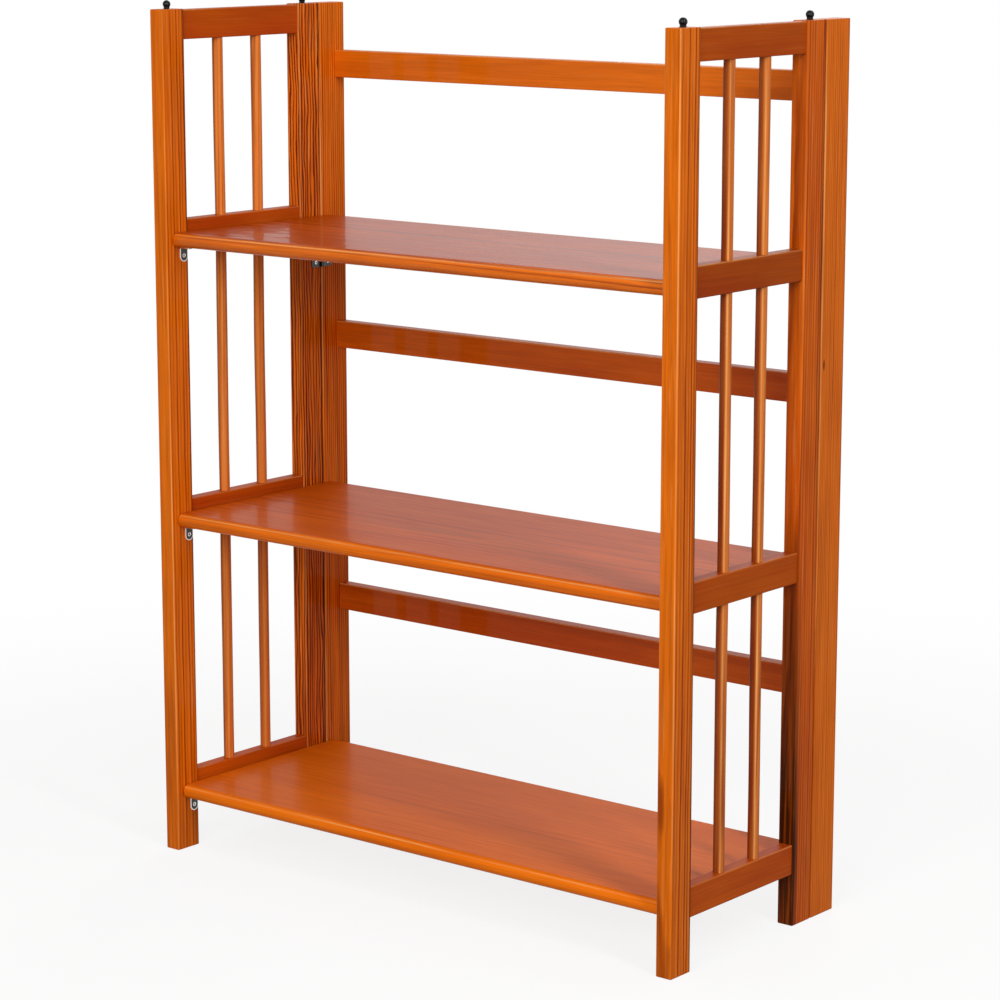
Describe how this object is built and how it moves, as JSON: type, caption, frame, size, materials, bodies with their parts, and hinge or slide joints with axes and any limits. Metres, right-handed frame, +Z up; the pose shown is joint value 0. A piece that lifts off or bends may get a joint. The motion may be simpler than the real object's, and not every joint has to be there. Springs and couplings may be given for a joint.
{
  "type": "folding bookcase",
  "caption": "Folding wooden bookcase: hinged spindle-sided frames, shelves that swing up on pivot pins and rest on steel brackets, and pins to stack one on another.",
  "frame": {"origin": "on the floor under the middle of the bookcase's width and depth", "axes": "+Z up, +X to the right as seen from the open front, +Y to the rear, so the front faces -Y"},
  "size_m": [0.706, 0.292, 0.9495],
  "materials": {
    "posts": "honey-orange stain with fine straight grain, under clear semi-gloss lacquer",
    "back_stiles": "honey-orange stain with strong striped grain, under clear semi-gloss lacquer",
    "side_rails": "red-brown orange stain under clear semi-gloss lacquer",
    "back_rails": "honey-orange stain under clear semi-gloss lacquer",
    "spindles": "honey-orange stain under clear semi-gloss lacquer",
    "shelf_boards": "red-orange stain with fine long grain, under clear gloss lacquer",
    "pivot_pins": "plain drawn steel",
    "hinges": "zinc-plated steel",
    "shelf_brackets": "zinc-plated pressed steel",
    "stacking_pins": "glossy black"
  },
  "bodies": {
    "frame": {"left_back_stile": "back_stiles", "left_front_post": "posts", "left_front_stacking_pin": "stacking_pins", "left_lower_bracket": "shelf_brackets", "left_lower_hinge_pin": "hinges", "left_lower_hinge_post_leaf": "hinges", "left_lower_hinge_stile_leaf": "hinges", "left_lower_rail": "side_rails", "left_middle_bracket": "shelf_brackets", "left_middle_rail": "side_rails", "left_rear_post": "posts", "left_rear_stacking_pin": "stacking_pins", "left_spindle_1": "spindles", "left_spindle_2": "spindles", "left_top_rail": "side_rails", "left_upper_bracket": "shelf_brackets", "left_upper_hinge_pin": "hinges", "left_upper_hinge_post_leaf": "hinges", "left_upper_hinge_stile_leaf": "hinges", "left_upper_rail": "side_rails", "lower_back_rail": "back_rails", "middle_back_rail": "back_rails", "right_back_stile": "back_stiles", "right_front_post": "posts", "right_front_stacking_pin": "stacking_pins", "right_lower_bracket": "shelf_brackets", "right_lower_hinge_pin": "hinges", "right_lower_hinge_post_leaf": "hinges", "right_lower_hinge_stile_leaf": "hinges", "right_lower_rail": "side_rails", "right_middle_bracket": "shelf_brackets", "right_middle_rail": "side_rails", "right_rear_post": "posts", "right_rear_stacking_pin": "stacking_pins", "right_spindle_1": "spindles", "right_spindle_2": "spindles", "right_top_rail": "side_rails", "right_upper_bracket": "shelf_brackets", "right_upper_hinge_pin": "hinges", "right_upper_hinge_post_leaf": "hinges", "right_upper_hinge_stile_leaf": "hinges", "right_upper_rail": "side_rails", "upper_back_rail": "back_rails"},
    "shelf_upper": {"upper_shelf": "shelf_boards", "upper_shelf_pins": "pivot_pins"},
    "shelf_middle": {"middle_shelf": "shelf_boards", "middle_shelf_pins": "pivot_pins"},
    "shelf_lower": {"lower_shelf": "shelf_boards", "lower_shelf_pins": "pivot_pins"}
  },
  "joints": [
    {"name": "upper_shelf_fold", "type": "hinge", "parent": "frame", "child": "shelf_upper", "pos_m": [0, 0.113, 0.691], "axis": [-1, 0, 0], "range_deg": [0, 92]},
    {"name": "middle_shelf_fold", "type": "hinge", "parent": "frame", "child": "shelf_middle", "pos_m": [0, 0.113, 0.379], "axis": [-1, 0, 0], "range_deg": [0, 92]},
    {"name": "lower_shelf_fold", "type": "hinge", "parent": "frame", "child": "shelf_lower", "pos_m": [0, 0.113, 0.067], "axis": [-1, 0, 0], "range_deg": [0, 92]}
  ]
}
